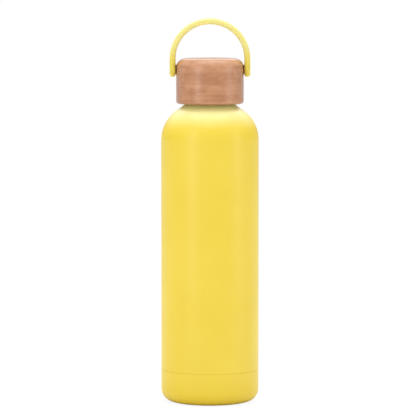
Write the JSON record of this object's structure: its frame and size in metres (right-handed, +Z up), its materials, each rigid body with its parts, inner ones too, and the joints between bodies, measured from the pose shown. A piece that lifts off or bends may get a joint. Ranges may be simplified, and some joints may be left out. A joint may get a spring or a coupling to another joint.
{
  "type": "insulated water bottle",
  "caption": "Slim double-wall steel water bottle with a rounded shoulder, a screw-on wooden cap and a swinging carry loop.",
  "frame": {"origin": "centre of the base, on the plane that the bottle stands on", "axes": "+Z up along the bottle's axis; +X along the handle's pivot axis, so the loop spans X; -Y is the front"},
  "size_m": [0.07, 0.07, 0.2753],
  "materials": {
    "powder_coat": "satin powder coat",
    "bare_steel": "brushed",
    "foil": "bright foil",
    "getter": "sintered",
    "bead": "fused",
    "silicone": "translucent silicone",
    "cap_wood": "satin varnish",
    "white_plastic": "moulded",
    "foam": "closed-cell foam",
    "screw_steel": "turned",
    "brass": "turned",
    "washer_fibre": "dark fibre",
    "bush_plastic": "moulded",
    "handle_silicone": "matt soft-touch"
  },
  "bodies": {
    "bottle": {"outer_shell": "powder_coat", "base_cup": "powder_coat", "base_disc": "bare_steel", "inner_flask": "bare_steel", "inner_flask_base": "bare_steel", "insulation_foil": "foil", "getter_holder": "bare_steel", "getter_pellet": "getter", "sealing_bead": "bead"},
    "seal": {"seal_ring": "silicone"},
    "lid": {"wood_cap": "cap_wood", "thread_insert": "white_plastic", "stopper_cup": "white_plastic", "stopper_plate": "bare_steel", "foam_insulator": "foam", "brass_inserts": "brass", "pivot_washers": "washer_fibre", "pivot_screws": "screw_steel"},
    "handle": {"carry_handle": "handle_silicone", "eye_bushes": "bush_plastic"}
  },
  "joints": [
    {"name": "lid_lift", "type": "slide", "parent": "bottle", "child": "seal", "axis": [0, 0, 1], "range_m": [0, 0.018]},
    {"name": "lid_turn", "type": "hinge", "parent": "seal", "child": "lid", "pos_m": [0, 0, 0.231], "axis": [0, 0, 1], "range_deg": [0, 1440]},
    {"name": "handle_swing", "type": "hinge", "parent": "lid", "child": "handle", "pos_m": [0, 0, 0.2388], "axis": [1, 0, 0], "range_deg": [-118, 118]}
  ],
  "couplings": [
    {"joint": "lid_turn", "follows": "lid_lift", "rad_per_m": 1396.3}
  ]
}
